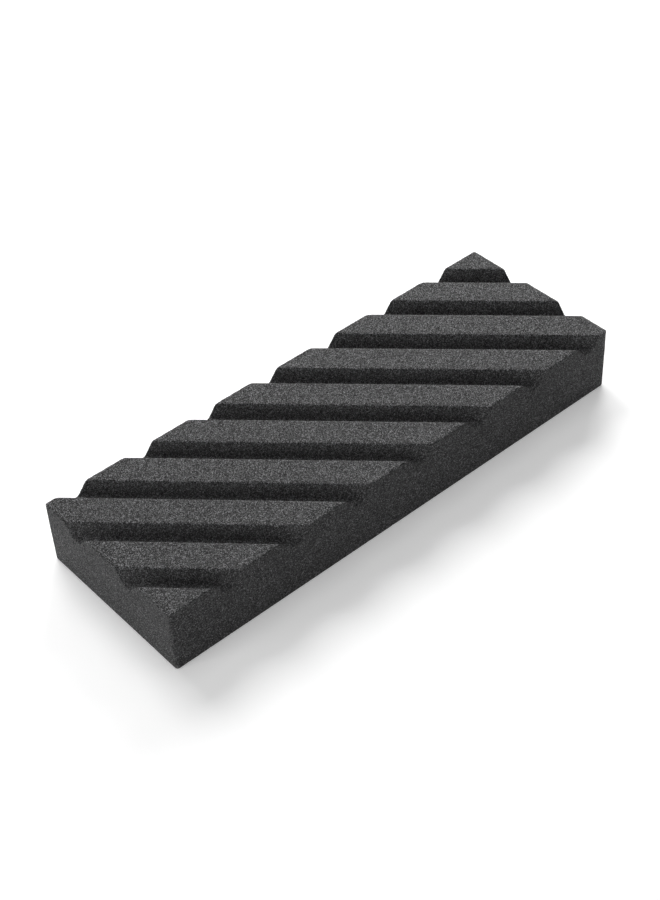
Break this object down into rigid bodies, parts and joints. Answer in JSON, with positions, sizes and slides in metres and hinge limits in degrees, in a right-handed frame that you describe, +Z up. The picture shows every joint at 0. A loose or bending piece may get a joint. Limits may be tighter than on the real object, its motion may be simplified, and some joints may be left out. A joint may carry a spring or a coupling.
{
  "type": "whetstone flattening stone",
  "caption": "Rectangular coarse abrasive block with parallel diagonal slurry grooves across its working face and a plain flat underside, for flattening worn whetstones.",
  "frame": {"origin": "middle of the flat underside, at the centre of the block's length and width", "axes": "+X along the length, +Y across the width, +Z up out of the grooved working face; the grooves run from low X, high Y to high X, low Y"},
  "size_m": [0.18, 0.0614, 0.0231],
  "materials": {
    "abrasive": "matte"
  },
  "bodies": {
    "root": {"grooved_stone": "abrasive"}
  },
  "joints": []
}
